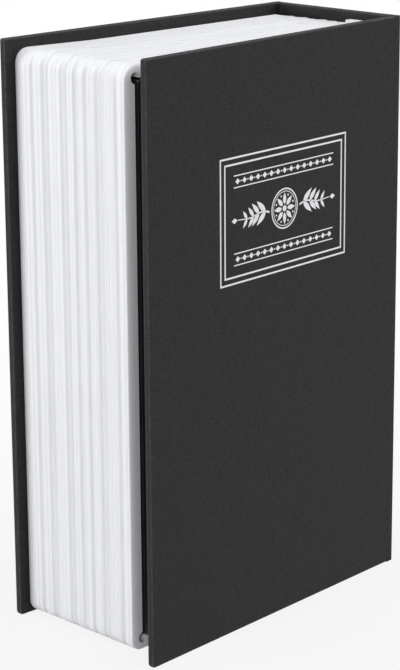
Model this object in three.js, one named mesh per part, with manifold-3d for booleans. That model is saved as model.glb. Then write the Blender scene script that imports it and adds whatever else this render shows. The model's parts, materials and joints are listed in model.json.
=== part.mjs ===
// A book safe: a hardback case of three covered boards round a white moulding that looks like the
// edges of the pages, and inside that a steel box with a hinged lid and a cam lock.
// Millimetres, +Z up. The book stands on its tail, spine at +X, fore edge at -X, front cover at -Y.
// Places through the thickness are depths, measured from the back cover's inner face towards -Y.

import * as THREE from "three";
import { mergeVertices } from "three/addons/utils/BufferGeometryUtils.js";
import Module from "manifold-3d";

const wasm = await Module();
wasm.setup();

// The closed book
const bookHeight = 180;
const bookWidth = 118;
const bookThickness = 53;

// Covers and spine: greyboard wrapped in covering paper, with a lining pasted inside
const coveringSheet = 0.4;
const boardThickness = 1.4;
const glueGap = 0.1;
const turnIn = 4;
const headCornerRadius = 0.8;
const tailCornerRadius = 1.6;
const foldGap = 0.3;

// Page surround: how far it stands in from the case and its closed front cover, and its wall
const foreInset = 3.4;
const headInset = 3.4;
const tailInset = 1;
const spineEndInset = 3.8;
const coverClearance = 0.4;
const surroundHeadRadius = 5;
const surroundTailRadius = 3.5;
const lipWidth = 3.9;
const lipRoundRadius = 1.5;
const backChamfer = 0.5;
const reliefRadius = 1.7;
const reliefDepth = 5;

// Page edges: bundles of leaves that lean towards the spine and the head as they come forward, and
// then spring back, with fine ribs on them
const bundleLean = 0.6;
const leanSlopeShare = 0.13;
const ribPitch = 1.45;
const ribDepth = 0.18;
const ribCrestShare = 0.45;
const bundleEndShares = [0.17, 0.27, 0.31, 0.435, 0.47, 0.555, 0.65, 0.75, 0.78, 0.92];

// End tabs of the surround beside the spine
const tabDepth = 33.2;
const tabHeadRise = 1;
const tabTailRise = 0.7;
const tabFoot = 2.6;
const tabSpineGap = 1.2;
const tabRoundRadius = 0.5;

// Steel box and lid
const sheet = 1;
const seatGap = 0.1;
const sideGap = 0.3;
const lidGap = 0.6;
const rimGap = 0.6;
const lidProud = 0.5;
const skirtFootGap = 0.4;
const boxSpineGap = 4;
const lidHeel = 0.5;
const lidCornerRadius = 0.8;
const boxCornerRadius = 2;

// Lid pivots
const pinRadius = 1.1;
const pinHeadRadius = 1.7;
const pinClearance = 0.35;
const earMargin = 0.7;
const pinTipGap = 0.3;

// Rivets through the box floor, and screws through its end walls
const rivetRadius = 2;
const rivetHeadRadius = 4;
const rivetHeadHeight = 1.2;
const rivetFootHeight = 0.6;
const rivetInset = 22;
const screwRadius = 1.4;
const screwHeadRadius = 2.8;
const screwHeadHeight = 1.2;
const screwBite = 3;
const screwSlotWidth = 0.8;
const screwSlotDepth = 0.6;
const screwPlaceShares = [0.25, 0.75];
const screwDepthShare = 0.45;

// Cam lock
const lockInset = 16.2;
const lockBodyRadius = 5.2;
const lockFlatShare = 0.86;
const lockHeadRadius = 9.2;
const lockHeadBevel = 1.2;
const lockHeadHeight = 5.8;
const lockRestGap = 0.3;
const washerRadius = 8.2;
const washerThickness = 0.6;
const nutRadius = 8.4;
const nutThickness = 2.5;
const barrelTail = 1.3;
const plugRadius = 3.7;
const plugNoseRadius = 3.1;
const plugNoseLength = 2.8;
const plugClearance = 0.2;
const plugTail = 0.4;
const plugRecess = 0.4;
const keywayWidth = 1;
const keywayHeight = 4.4;
const keywayDepth = 8;
const camThickness = 1.5;
const camHalfWidth = 4;
const camHubRadius = 5.4;
const camSquare = 4;
const camTipGap = 0.5;
const camScrewRadius = 1.2;
const camScrewHeadRadius = 3;
const camScrewHeadHeight = 2;
const camScrewLength = 5;

// Latch plate on the fore wall
const latchGap = 0.5;
const latchShelf = 6;
const latchLeg = 10;
const latchLength = 26;
const latchRivetRadius = 1.2;
const latchRivetHeadRadius = 2;
const latchRivetHeadHeight = 0.8;
const latchRivetInset = 5;
const latchRivetShare = 0.64;

// How far a cutter runs past the face that it cuts, and how round things are drawn
const overrun = 1;
const fineSides = 36;
const plainSides = 20;
const smallSides = 14;
const roundSegments = 10;
const cornerSegments = 3;
const cornerSteps = 4;

// Places across the book, worked out from the sizes
const coverThickness = 2 * coveringSheet + 2 * glueGap + boardThickness;
const spineOuter = bookWidth / 2;
const spineInner = spineOuter - coverThickness;
const backOuter = bookThickness / 2;
const backInner = backOuter - coverThickness;
const foreFace = -bookWidth / 2 + foreInset;
const headFace = bookHeight - headInset;
const tailFace = tailInset;
const surroundEnd = spineOuter - spineEndInset;

const lidFore = foreFace + lipWidth + lidGap;
const lidHead = headFace - lipWidth - lidGap;
const lidTail = tailFace + lipWidth + lidGap;
const boxFore = lidFore + sheet + sideGap;
const boxHead = lidHead - sheet - sideGap;
const boxTail = lidTail + sheet + sideGap;
const boxSpine = spineInner - boxSpineGap;
const lidSpine = boxSpine + lidHeel;
const pinSetback = sheet + seatGap + pinHeadRadius;
const pinX = boxSpine - pinSetback;

// Depths, from the back cover's inner face towards the front
const surroundDepth = bookThickness - 2 * coverThickness - coverClearance - seatGap;
const surroundFront = seatGap + surroundDepth;
const lidTop = surroundFront + lidProud;
const lidUnder = lidTop - sheet;
const boxRim = lidUnder - rimGap;
const earRadius = pinSetback + earMargin;
const pinDepth = lidUnder - earRadius;
const skirtFoot = pinDepth - earRadius;
const rebateFloor = skirtFoot - skirtFootGap;
const boxFloor = seatGap + sheet;

// Lock places
const lockX = boxFore + lockInset;
const lockZ = (boxHead + boxTail) / 2;
const lockTop = lidTop + seatGap + lockHeadHeight;
const washerLow = lidUnder - seatGap - washerThickness;
const nutLow = washerLow - seatGap - nutThickness;
const barrelEnd = nutLow - barrelTail;
const plugEnd = barrelEnd - plugTail;
const camHigh = plugEnd - seatGap;
const camLow = camHigh - camThickness;
const latchLow = camHigh + latchGap;
const latchHigh = latchLow + sheet;
const latchFace = boxFore + sheet + seatGap + sheet;
const camReach = lockX - latchFace - camTipGap;

// The front cover rests on the rim of the lock's flat top, so it stands ajar by this angle
const restAlong = spineOuter - lockX - (lockHeadRadius - lockHeadBevel);
const restOut = lockTop - (bookThickness - coverThickness);
const restReach = Math.hypot(restAlong, restOut);
const ajarAngle = Math.atan2(restOut, restAlong) + Math.asin((coverThickness + lockRestGap) / restReach);
const coverSwing = bookWidth * Math.sin(ajarAngle);

// Finishes
function finish(color, roughness, metalness) {
  return new THREE.MeshStandardMaterial({ color, roughness, metalness });
}
const coveringPaper = finish(0x373737, 0.7, 0);
const greyboard = finish(0x9b9080, 0.9, 0);
const liningPaper = finish(0x303030, 0.8, 0);
const whitePlastic = finish(0xe6e7ea, 0.45, 0);
const blackSteel = finish(0x1c1d1f, 0.5, 0.6);
const zincSteel = finish(0xb4b7ba, 0.35, 1);
const chrome = finish(0xd0d2d4, 0.2, 1);
const brass = finish(0xc2a35a, 0.3, 1);

// The y of a depth, in the closed book's own frame
function atDepth(depth) {
  return backInner - depth;
}

// A closed geometry as a solid that can be cut and joined, its faces pointing out
function solid(geometry) {
  geometry.deleteAttribute("normal");
  geometry.deleteAttribute("uv");
  const welded = mergeVertices(geometry);
  const vertProperties = new Float32Array(welded.attributes.position.array);
  const triVerts = new Uint32Array(welded.index.array);
  const body = new wasm.Manifold(new wasm.Mesh({ numProp: 3, vertProperties, triVerts }));
  if (body.volume() > 0) {
    return body;
  }
  triVerts.reverse();
  return new wasm.Manifold(new wasm.Mesh({ numProp: 3, vertProperties, triVerts }));
}

// A named mesh of a solid
function piece(name, body, material) {
  const mesh = body.getMesh();
  const geometry = new THREE.BufferGeometry();
  geometry.setAttribute("position", new THREE.BufferAttribute(mesh.vertProperties, mesh.numProp));
  geometry.setIndex(new THREE.BufferAttribute(mesh.triVerts, 1));
  geometry.computeVertexNormals();
  const part = new THREE.Mesh(geometry, material);
  part.name = name;
  return part;
}

// An outline drawn in x and z, extruded from one y to a higher one
function slab(outline, yLow, yHigh, curveSegments = roundSegments) {
  const settings = { depth: yHigh - yLow, bevelEnabled: false, curveSegments };
  const geometry = new THREE.ExtrudeGeometry(outline, settings);
  geometry.rotateX(Math.PI / 2);
  geometry.translate(0, yHigh, 0);
  return solid(geometry);
}

// The same between two depths
function layer(outline, low, high, curveSegments) {
  return slab(outline, atDepth(high), atDepth(low), curveSegments);
}

// A plain block between two corners, its middle pair of numbers being depths
function block(xLow, xHigh, low, high, zLow, zHigh) {
  const geometry = new THREE.BoxGeometry(xHigh - xLow, high - low, zHigh - zLow);
  geometry.translate((xLow + xHigh) / 2, atDepth((low + high) / 2), (zLow + zHigh) / 2);
  return solid(geometry);
}

// A rectangle in x and z with a radius at each corner: fore tail, spine tail, spine head, fore head
function roundedRectangle(xLow, xHigh, zLow, zHigh, radii) {
  const [foreTail, spineTail, spineHead, foreHead] = radii;
  const shape = new THREE.Shape();
  const quarter = Math.PI / 2;
  shape.moveTo(xLow + foreTail, zLow);
  corner(shape, xHigh - spineTail, zLow + spineTail, spineTail, -quarter);
  corner(shape, xHigh - spineHead, zHigh - spineHead, spineHead, 0);
  corner(shape, xLow + foreHead, zHigh - foreHead, foreHead, quarter);
  corner(shape, xLow + foreTail, zLow + foreTail, foreTail, 2 * quarter);
  return shape;
}

// A quarter turn of a corner, or just its point where the radius is zero
function corner(shape, x, z, radius, start) {
  if (radius > 0) {
    shape.absarc(x, z, radius, start, start + Math.PI / 2, false);
  } else {
    shape.lineTo(x, z);
  }
}

// A round outline in x and z
function disc(x, z, radius) {
  const shape = new THREE.Shape();
  shape.absarc(x, z, radius, 0, 2 * Math.PI, false);
  return shape;
}

// A turned solid about its own Y axis, from radius and height pairs
function turned(profile, sides) {
  const points = profile.map(([radius, height]) => new THREE.Vector2(radius, height));
  return new THREE.LatheGeometry(points, sides);
}

// A turned solid standing on the back cover, its heights being depths
function turnedOnDepth(profile, x, z, sides = plainSides) {
  const geometry = turned(profile, sides);
  geometry.rotateX(Math.PI);
  geometry.translate(x, backInner, z);
  return solid(geometry);
}

// A turned solid along +Z or -Z, its heights measured from a z
function turnedOnHeight(profile, x, depth, z, direction) {
  const geometry = turned(profile, smallSides);
  geometry.rotateX(direction * Math.PI / 2);
  geometry.translate(x, atDepth(depth), z);
  return solid(geometry);
}

// One board of the case with its covering and lining. The outline function gives the board's
// outline drawn in by a margin, and side is the way from the outer face to the inner one.
function coveredBoard(outlineAt, side) {
  const sheetAt = (margin, low, high) => {
    const ends = [side * low, side * high].sort((a, b) => a - b);
    return slab(outlineAt(margin), ends[0], ends[1], cornerSegments);
  };
  const pocketFloor = coveringSheet;
  const pocketRoof = coverThickness - coveringSheet;
  const pocket = sheetAt(coveringSheet, pocketFloor, pocketRoof);
  const window = sheetAt(turnIn, pocketFloor + glueGap, coverThickness + overrun);
  const covering = sheetAt(0, 0, coverThickness).subtract(pocket).subtract(window);
  const boardFace = pocketFloor + glueGap;
  const board = sheetAt(coveringSheet + glueGap, boardFace, boardFace + boardThickness);
  const lining = sheetAt(turnIn + glueGap, pocketRoof, coverThickness);
  return { covering, board, lining };
}

// The outline of a cover from its hinge edge at x = 0 to its fore edge
function coverOutline(margin) {
  const tail = Math.max(tailCornerRadius - margin, 0);
  const head = Math.max(headCornerRadius - margin, 0);
  const radii = [tail, 0, 0, head];
  return roundedRectangle(margin - bookWidth, -margin, margin, bookHeight - margin, radii);
}

// A cover's three pieces, hinged about its outer spine corner
function coverPieces(name, side, cut) {
  const parts = coveredBoard(coverOutline, side);
  return [
    piece(`${name}_covering`, parts.covering, coveringPaper),
    piece(`${name}_board`, cut ? parts.board.subtract(cut) : parts.board, greyboard),
    piece(`${name}_lining`, cut ? parts.lining.subtract(cut) : parts.lining, liningPaper),
  ];
}

function frontCover() {
  const group = new THREE.Group();
  group.position.set(spineOuter, -backOuter, 0);
  group.rotation.z = ajarAngle;
  group.add(...coverPieces("front", 1));
  return group;
}

function backCover() {
  const group = new THREE.Group();
  group.position.set(spineOuter, backOuter, 0);
  const bores = rivetCutters().translate([-spineOuter, -backOuter, 0]);
  group.add(...coverPieces("back", -1, bores));
  return group;
}

// The spine stands between the covers, so its board is laid out flat and then turned edge on
function spine() {
  const half = bookThickness / 2 - coverThickness - foldGap;
  const outlineAt = (margin) =>
    roundedRectangle(margin - half, half - margin, margin, bookHeight - margin, [0, 0, 0, 0]);
  const parts = coveredBoard(outlineAt, 1);
  const group = new THREE.Group();
  group.position.set(spineOuter, 0, 0);
  group.rotation.z = Math.PI / 2;
  group.add(piece("spine_covering", parts.covering, coveringPaper));
  group.add(piece("spine_board", parts.board, greyboard));
  group.add(piece("spine_lining", parts.lining, liningPaper));
  return group;
}

// The surround's wall in section, as offset out from its face and depth, and on the leaves also how
// far each leans and how far its bundle does in all
function surroundProfile() {
  const points = [[-backChamfer, seatGap]];
  let start = seatGap + backChamfer;
  for (const share of bundleEndShares) {
    const end = seatGap + share * surroundDepth;
    points.push(...bundleProfile(start, end));
    start = end;
  }
  points.push([-ribDepth, start], [0, start + ribDepth]);
  points.push(...lipRound());
  const wallInner = -(lipWidth + lidGap + sheet);
  points.push([-lipWidth, surroundFront], [-lipWidth, rebateFloor]);
  points.push([wallInner, rebateFloor], [wallInner, seatGap]);
  return points;
}

// One bundle of leaves: ribs that lean more and more up to its front
function bundleProfile(start, end) {
  const length = end - start;
  const fullLean = Math.min(bundleLean, leanSlopeShare * length);
  const leaf = (offset, depth) => [offset, depth, fullLean * (depth - start) / length, fullLean];
  const ribs = Math.max(1, Math.round(length / ribPitch));
  const pitch = length / ribs;
  const points = [leaf(0, start), leaf(0, start + ribCrestShare * pitch)];
  for (let rib = 1; rib < ribs; rib += 1) {
    const ribStart = start + rib * pitch;
    points.push(leaf(-ribDepth, ribStart), leaf(0, ribStart + ribCrestShare * pitch));
  }
  points.push(leaf(0, end));
  return points;
}

// The rounded front arris of the lip
function lipRound() {
  const points = [];
  for (let step = 0; step <= cornerSteps; step += 1) {
    const angle = (step / cornerSteps) * (Math.PI / 2);
    const offset = lipRoundRadius * (Math.cos(angle) - 1);
    points.push([offset, surroundFront + lipRoundRadius * (Math.sin(angle) - 1)]);
  }
  return points;
}

// Stations round the U, from the tail wall's spine end to the head wall's, each with the centre that
// its radius is about, its way out and its ways in. At the head the leaves start low, so that they
// lean up to the face.
function surroundStations() {
  const tail = { radius: surroundTailRadius, z: tailFace + surroundTailRadius, inZ: 1, atHead: 0 };
  const head = { radius: surroundHeadRadius, z: headFace - surroundHeadRadius, inZ: -1, atHead: 1 };
  const stations = [{ ...tail, x: surroundEnd, outX: 0, outZ: -1, inX: 0 }];
  for (const [turn, start] of [[tail, -Math.PI / 2], [head, -Math.PI]]) {
    for (let step = 0; step <= cornerSteps; step += 1) {
      const angle = start - (step / cornerSteps) * (Math.PI / 2);
      const way = { outX: Math.cos(angle), outZ: Math.sin(angle), inX: 1 };
      stations.push({ ...turn, ...way, x: foreFace + turn.radius });
    }
  }
  stations.push({ ...head, x: surroundEnd, outX: 0, outZ: 1, inX: 0 });
  return stations;
}

// A station's place at an offset. Where the offset is more than the radius, the corner is square.
function stationPlace({ x, z, radius, outX, outZ, inX, inZ }, offset) {
  const reach = radius + offset;
  return reach > 0 ? [x + outX * reach, z + outZ * reach] : [x - inX * reach, z - inZ * reach];
}

// A closed section carried along the stations, with a cap at each end
function carried(profile, stations) {
  const positions = [];
  for (const station of stations) {
    for (const [offset, depth, lean = 0, fullLean = 0] of profile) {
      const [x, z] = stationPlace(station, offset);
      positions.push(x + lean, atDepth(depth), z + lean - station.atHead * fullLean);
    }
  }
  const count = profile.length;
  const index = [];
  for (let station = 0; station + 1 < stations.length; station += 1) {
    for (let point = 0; point < count; point += 1) {
      const a = station * count + point;
      const b = station * count + (point + 1) % count;
      index.push(a, b, a + count, b, b + count, a + count);
    }
  }
  const last = (stations.length - 1) * count;
  for (const [a, b, c] of capFaces(profile, stations[0])) {
    index.push(a, c, b);
  }
  for (const [a, b, c] of capFaces(profile, stations[stations.length - 1])) {
    index.push(last + a, last + b, last + c);
  }
  const geometry = new THREE.BufferGeometry();
  geometry.setAttribute("position", new THREE.Float32BufferAttribute(positions, 3));
  geometry.setIndex(index);
  return solid(geometry);
}

// The triangles of the cap at an end station
function capFaces(profile, { outZ, atHead }) {
  const contour = profile.map(([offset, depth, lean = 0, fullLean = 0]) =>
    new THREE.Vector2(offset + outZ * (lean - atHead * fullLean), depth));
  return THREE.ShapeUtils.triangulateShape(contour, []);
}

// The tab that ends the head or tail wall beside the spine, standing prouder than the page edges
function endTab(inner, outer) {
  const low = Math.min(inner, outer);
  const high = Math.max(inner, outer);
  const radii = [0, tabRoundRadius, tabRoundRadius, 0];
  const xLow = surroundEnd - tabFoot;
  const xHigh = spineInner - tabSpineGap;
  return layer(roundedRectangle(xLow, xHigh, low, high, radii), tabDepth, surroundFront, cornerSegments);
}

function pageSurround() {
  let body = carried(surroundProfile(), surroundStations());
  body = body.add(endTab(headFace - lipWidth, headFace + tabHeadRise));
  body = body.add(endTab(tailFace + lipWidth, tailFace - tabTailRise));
  for (const z of [headFace - lipWidth, tailFace + lipWidth]) {
    const relief = disc(foreFace + lipWidth, z, reliefRadius);
    body = body.subtract(layer(relief, surroundFront - reliefDepth, surroundFront + overrun));
  }
  for (const cutter of screwBores(screwRadius + seatGap, screwBite + sideGap + seatGap)) {
    body = body.subtract(cutter);
  }
  return piece("page_surround", body, whitePlastic);
}

// Where the screws go through the box's end walls: place along x, face inside the wall, way out
function screwPlaces() {
  const places = [];
  for (const [z, direction] of [[boxHead - sheet, 1], [boxTail + sheet, -1]]) {
    for (const share of screwPlaceShares) {
      places.push({ x: boxFore + share * (boxSpine - boxFore), z, direction });
    }
  }
  return places;
}

const screwDepth = screwDepthShare * surroundDepth;

// Round cutters through the end walls, and past them by a bite
function screwBores(radius, bite) {
  const length = sheet + bite;
  const profile = [[0, -overrun], [radius, -overrun], [radius, length], [0, length]];
  return screwPlaces().map((at) => turnedOnHeight(profile, at.x, screwDepth, at.z, at.direction));
}

function surroundScrew(at, number) {
  const headFoot = -seatGap - screwHeadHeight;
  const tip = sheet + sideGap + screwBite;
  const profile = [
    [0, headFoot],
    [screwHeadRadius / 2, headFoot],
    [screwHeadRadius, -seatGap - screwHeadHeight / 2],
    [screwHeadRadius, -seatGap],
    [screwRadius, -seatGap],
    [screwRadius, tip - screwRadius],
    [0, tip],
  ];
  const body = turnedOnHeight(profile, at.x, screwDepth, at.z, at.direction);
  const slotFoot = at.z + at.direction * headFoot;
  const slotEnds = [slotFoot - screwSlotDepth, slotFoot + screwSlotDepth];
  const xLow = at.x - screwSlotWidth / 2;
  const xHigh = at.x + screwSlotWidth / 2;
  const low = screwDepth - screwHeadRadius - overrun;
  const high = screwDepth + screwHeadRadius + overrun;
  const slot = block(xLow, xHigh, low, high, slotEnds[0], slotEnds[1]);
  return piece(`surround_screw_${number}`, body.subtract(slot), zincSteel);
}

// The four rivets that clench the box floor to the back board
function rivetPlaces() {
  const places = [];
  for (const x of [boxFore + rivetInset, boxSpine - rivetInset]) {
    for (const z of [boxTail + rivetInset, boxHead - rivetInset]) {
      places.push([x, z]);
    }
  }
  return places;
}

const rivetFoot = -(coveringSheet + glueGap + boardThickness);

// The stepped hole that a rivet needs through floor, lining and board
function rivetCutters() {
  const shank = rivetRadius + seatGap;
  const foot = rivetHeadRadius + seatGap;
  const shoulder = rivetFoot + rivetFootHeight + seatGap;
  const high = boxFloor + overrun;
  const profile = [[0, rivetFoot - glueGap], [foot, rivetFoot - glueGap], [foot, shoulder]];
  profile.push([shank, shoulder], [shank, high], [0, high]);
  const cutters = rivetPlaces().map(([x, z]) => turnedOnDepth(profile, x, z, smallSides));
  return wasm.Manifold.union(cutters);
}

function boxRivet([x, z], number) {
  const headLow = boxFloor + seatGap;
  const profile = [
    [0, rivetFoot],
    [rivetHeadRadius, rivetFoot],
    [rivetHeadRadius, rivetFoot + rivetFootHeight],
    [rivetRadius, rivetFoot + rivetFootHeight],
    [rivetRadius, headLow],
    [rivetHeadRadius, headLow],
    [rivetHeadRadius * Math.cos(Math.PI / 6), headLow + rivetHeadHeight / 2],
    [rivetHeadRadius / 2, headLow + rivetHeadHeight],
    [0, headLow + rivetHeadHeight],
  ];
  return piece(`box_rivet_${number}`, turnedOnDepth(profile, x, z, smallSides), zincSteel);
}

// Round cutter along Z through both end walls of the box, or both skirts of the lid
function alongPins(radius) {
  const profile = [[0, lidTail - overrun], [radius, lidTail - overrun]];
  profile.push([radius, lidHead + overrun], [0, lidHead + overrun]);
  return turnedOnHeight(profile, pinX, pinDepth, 0, 1);
}

// What the box's spine end gives up, so that its rim is round about the pins and the lid's heel
// swings clear of it
function rimRelief() {
  const corner = block(pinX, boxSpine + overrun, pinDepth, boxRim + overrun, boxTail - overrun,
    boxHead + overrun);
  return corner.subtract(alongPins(earRadius - sideGap));
}

function steelBox() {
  const bend = boxCornerRadius;
  const inner = Math.max(bend - sheet, 0);
  const outside = roundedRectangle(boxFore, boxSpine, boxTail, boxHead, [bend, sheet, sheet, bend]);
  const inside = roundedRectangle(boxFore + sheet, boxSpine - sheet, boxTail + sheet, boxHead - sheet,
    [inner, 0, 0, inner]);
  let body = layer(outside, seatGap, boxRim, cornerSegments);
  body = body.subtract(layer(inside, boxFloor, boxRim + overrun, cornerSegments));
  body = body.subtract(rivetCutters());
  body = body.subtract(rimRelief());
  body = body.subtract(alongPins(pinRadius + seatGap));
  body = body.subtract(latchRivetBores(latchRivetRadius + seatGap));
  for (const cutter of screwBores(screwRadius + seatGap, overrun)) {
    body = body.subtract(cutter);
  }
  return piece("steel_box", body, blackSteel);
}

// A skirt's outline in x and y: a straight strip that ends in an ear round the pin
function skirtOutline() {
  const shape = new THREE.Shape();
  shape.moveTo(lidFore, atDepth(lidUnder));
  shape.lineTo(lidFore, atDepth(skirtFoot));
  shape.absarc(pinX, atDepth(pinDepth), earRadius, Math.PI / 2, -Math.PI / 2, true);
  return shape;
}

// An end skirt of the lid standing on z
function endSkirt(z) {
  const settings = { depth: sheet, bevelEnabled: false, curveSegments: roundSegments };
  const geometry = new THREE.ExtrudeGeometry(skirtOutline(), settings);
  geometry.translate(0, 0, z);
  return solid(geometry);
}

// The lock barrel's section: a circle with two flats, which stop it turning in the lid
function barrelOutline(radius) {
  const flat = Math.asin(lockFlatShare);
  const shape = new THREE.Shape();
  shape.absarc(lockX, lockZ, radius, -flat, flat, false);
  shape.absarc(lockX, lockZ, radius, Math.PI - flat, Math.PI + flat, false);
  return shape;
}

function steelLid() {
  const radii = [lidCornerRadius, 0, 0, lidCornerRadius];
  const plate = roundedRectangle(lidFore, pinX + pinRadius, lidTail, lidHead, radii);
  const fusing = sheet / 2;
  let body = layer(plate, lidUnder, lidTop, cornerSegments);
  body = body.add(block(pinX, lidSpine, lidUnder, lidTop, boxTail, boxHead));
  body = body.add(block(lidFore, lidFore + sheet, skirtFoot, lidUnder + fusing,
    lidTail + lidCornerRadius, lidHead - lidCornerRadius));
  body = body.add(endSkirt(lidTail));
  body = body.add(endSkirt(lidHead - sheet));
  body = body.subtract(alongPins(pinRadius + pinClearance));
  const hole = barrelOutline(lockBodyRadius + seatGap);
  body = body.subtract(layer(hole, lidUnder - overrun, lidTop + overrun));
  return piece("steel_lid", body, blackSteel);
}

// A pivot pin, headed inside the box and running out through its wall and the lid's skirt
function hingePin(name, z, direction) {
  const reach = sheet + sideGap + sheet + pinTipGap;
  const profile = [
    [0, -seatGap - sheet],
    [pinHeadRadius, -seatGap - sheet],
    [pinHeadRadius, -seatGap],
    [pinRadius, -seatGap],
    [pinRadius, reach],
    [0, reach],
  ];
  return piece(name, turnedOnHeight(profile, pinX, pinDepth, z, direction), zincSteel);
}

// The turned bore of the lock, narrower at the front so that the plug cannot be drawn out
function plugBore() {
  const noseLow = lockTop - plugRecess - plugNoseLength;
  const wide = plugRadius + plugClearance;
  const narrow = plugNoseRadius + plugClearance;
  const profile = [[0, barrelEnd - overrun], [wide, barrelEnd - overrun], [wide, noseLow + plugClearance]];
  profile.push([narrow, noseLow + plugClearance], [narrow, lockTop + overrun], [0, lockTop + overrun]);
  return turnedOnDepth(profile, lockX, lockZ);
}

function lockHousing() {
  const headLow = lidTop + seatGap;
  const face = lockHeadRadius - lockHeadBevel;
  const head = [[0, headLow], [lockHeadRadius, headLow], [lockHeadRadius, lockTop - lockHeadBevel]];
  head.push([face, lockTop], [0, lockTop]);
  let body = turnedOnDepth(head, lockX, lockZ, fineSides);
  body = body.add(layer(barrelOutline(lockBodyRadius), barrelEnd, headLow + overrun));
  return piece("lock_housing", body.subtract(plugBore()), chrome);
}

function lockWasher() {
  const body = layer(disc(lockX, lockZ, washerRadius), washerLow, washerLow + washerThickness);
  const hole = layer(disc(lockX, lockZ, lockBodyRadius + seatGap), washerLow - overrun, lidTop);
  return piece("lock_washer", body.subtract(hole), zincSteel);
}

function lockNut() {
  const hexagon = new THREE.Shape();
  hexagon.absarc(lockX, lockZ, nutRadius, 0, 2 * Math.PI, false);
  const body = layer(hexagon, nutLow, nutLow + nutThickness, 3);
  const hole = layer(disc(lockX, lockZ, lockBodyRadius + seatGap), nutLow - overrun, lidTop);
  return piece("lock_nut", body.subtract(hole), zincSteel);
}

function lockPlug() {
  const noseTop = lockTop - plugRecess;
  const noseLow = noseTop - plugNoseLength;
  const profile = [[0, plugEnd], [plugRadius, plugEnd], [plugRadius, noseLow], [plugNoseRadius, noseLow]];
  profile.push([plugNoseRadius, noseTop], [0, noseTop]);
  let body = turnedOnDepth(profile, lockX, lockZ);
  const half = camSquare / 2;
  body = body.add(block(lockX - half, lockX + half, camLow + seatGap, plugEnd + overrun,
    lockZ - half, lockZ + half));
  const keyway = block(lockX - keywayWidth / 2, lockX + keywayWidth / 2, noseTop - keywayDepth,
    noseTop + overrun, lockZ - keywayHeight / 2, lockZ + keywayHeight / 2);
  const tapped = disc(lockX, lockZ, camScrewRadius + seatGap);
  body = body.subtract(layer(tapped, camLow, camLow + camScrewLength + seatGap));
  return piece("lock_plug", body.subtract(keyway), brass);
}

// The cam is parked pointing to the head; a quarter turn takes its tip under the latch plate
function lockCam() {
  const tip = lockZ + camReach - camHalfWidth;
  const arm = new THREE.Shape();
  arm.absarc(lockX, lockZ, camHubRadius, Math.PI, 2 * Math.PI, false);
  arm.absarc(lockX, tip, camHalfWidth, 0, Math.PI, false);
  const half = camSquare / 2 + seatGap;
  const square = block(lockX - half, lockX + half, camLow - overrun, camHigh + overrun,
    lockZ - half, lockZ + half);
  return piece("lock_cam", layer(arm, camLow, camHigh).subtract(square), zincSteel);
}

function camScrew() {
  const headTop = camLow - seatGap;
  const headFoot = headTop - camScrewHeadHeight;
  const tip = camLow + camScrewLength;
  const profile = [
    [0, headFoot],
    [camScrewHeadRadius / 2, headFoot],
    [camScrewHeadRadius, headFoot + camScrewHeadHeight / 2],
    [camScrewHeadRadius, headTop],
    [camScrewRadius, headTop],
    [camScrewRadius, tip],
    [0, tip],
  ];
  const body = turnedOnDepth(profile, lockX, lockZ, smallSides);
  const slot = block(lockX - screwSlotWidth / 2, lockX + screwSlotWidth / 2, headFoot - overrun,
    headFoot + screwSlotDepth, lockZ - camScrewHeadRadius - overrun, lockZ + camScrewHeadRadius + overrun);
  return piece("cam_screw", body.subtract(slot), zincSteel);
}

// The rivets of the latch plate lie along X, one in from each end of the plate
function latchRivetPlaces() {
  const reach = latchLength / 2 - latchRivetInset;
  return [lockZ - reach, lockZ + reach];
}

const latchRivetDepth = latchHigh - latchRivetShare * latchLeg;

// A turned solid along +X, its heights measured from the box's fore wall
function turnedOnWidth(profile, z) {
  const geometry = turned(profile, smallSides);
  geometry.rotateZ(-Math.PI / 2);
  geometry.translate(boxFore, atDepth(latchRivetDepth), z);
  return solid(geometry);
}

function latchRivetBores(radius) {
  const high = latchFace - boxFore + overrun;
  const profile = [[0, -overrun], [radius, -overrun], [radius, high], [0, high]];
  return wasm.Manifold.union(latchRivetPlaces().map((z) => turnedOnWidth(profile, z)));
}

function latchPlate() {
  const low = lockZ - latchLength / 2;
  const high = lockZ + latchLength / 2;
  const wall = boxFore + sheet + seatGap;
  let body = block(wall, latchFace, latchHigh - latchLeg, latchHigh, low, high);
  body = body.add(block(wall, latchFace + latchShelf - sheet, latchLow, latchHigh, low, high));
  return piece("latch_plate", body.subtract(latchRivetBores(latchRivetRadius + seatGap)), zincSteel);
}

function latchRivet(z, number) {
  const headLow = latchFace - boxFore + seatGap;
  const headTop = headLow + latchRivetHeadHeight;
  const profile = [
    [0, 0],
    [latchRivetRadius, 0],
    [latchRivetRadius, headLow],
    [latchRivetHeadRadius, headLow],
    [latchRivetHeadRadius / 2, headTop],
    [0, headTop],
  ];
  return piece(`latch_rivet_${number}`, turnedOnWidth(profile, z), zincSteel);
}

// The whole book, moved so that its origin is the middle of the floor that it covers at rest
const book = new THREE.Group();
book.position.y = coverSwing / 2;
book.add(backCover());
book.add(spine());
book.add(frontCover());
book.add(pageSurround());
book.add(steelBox());
rivetPlaces().forEach((at, place) => book.add(boxRivet(at, place + 1)));
screwPlaces().forEach((at, place) => book.add(surroundScrew(at, place + 1)));
book.add(latchPlate());
latchRivetPlaces().forEach((z, place) => book.add(latchRivet(z, place + 1)));
book.add(hingePin("hinge_pin_head", boxHead - sheet, 1));
book.add(hingePin("hinge_pin_tail", boxTail + sheet, -1));
book.add(steelLid());
book.add(lockHousing());
book.add(lockWasher());
book.add(lockNut());
book.add(lockPlug());
book.add(lockCam());
book.add(camScrew());

export default book;
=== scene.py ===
import json
import math

import bmesh
import bpy
from mathutils import Matrix, Vector


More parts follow.
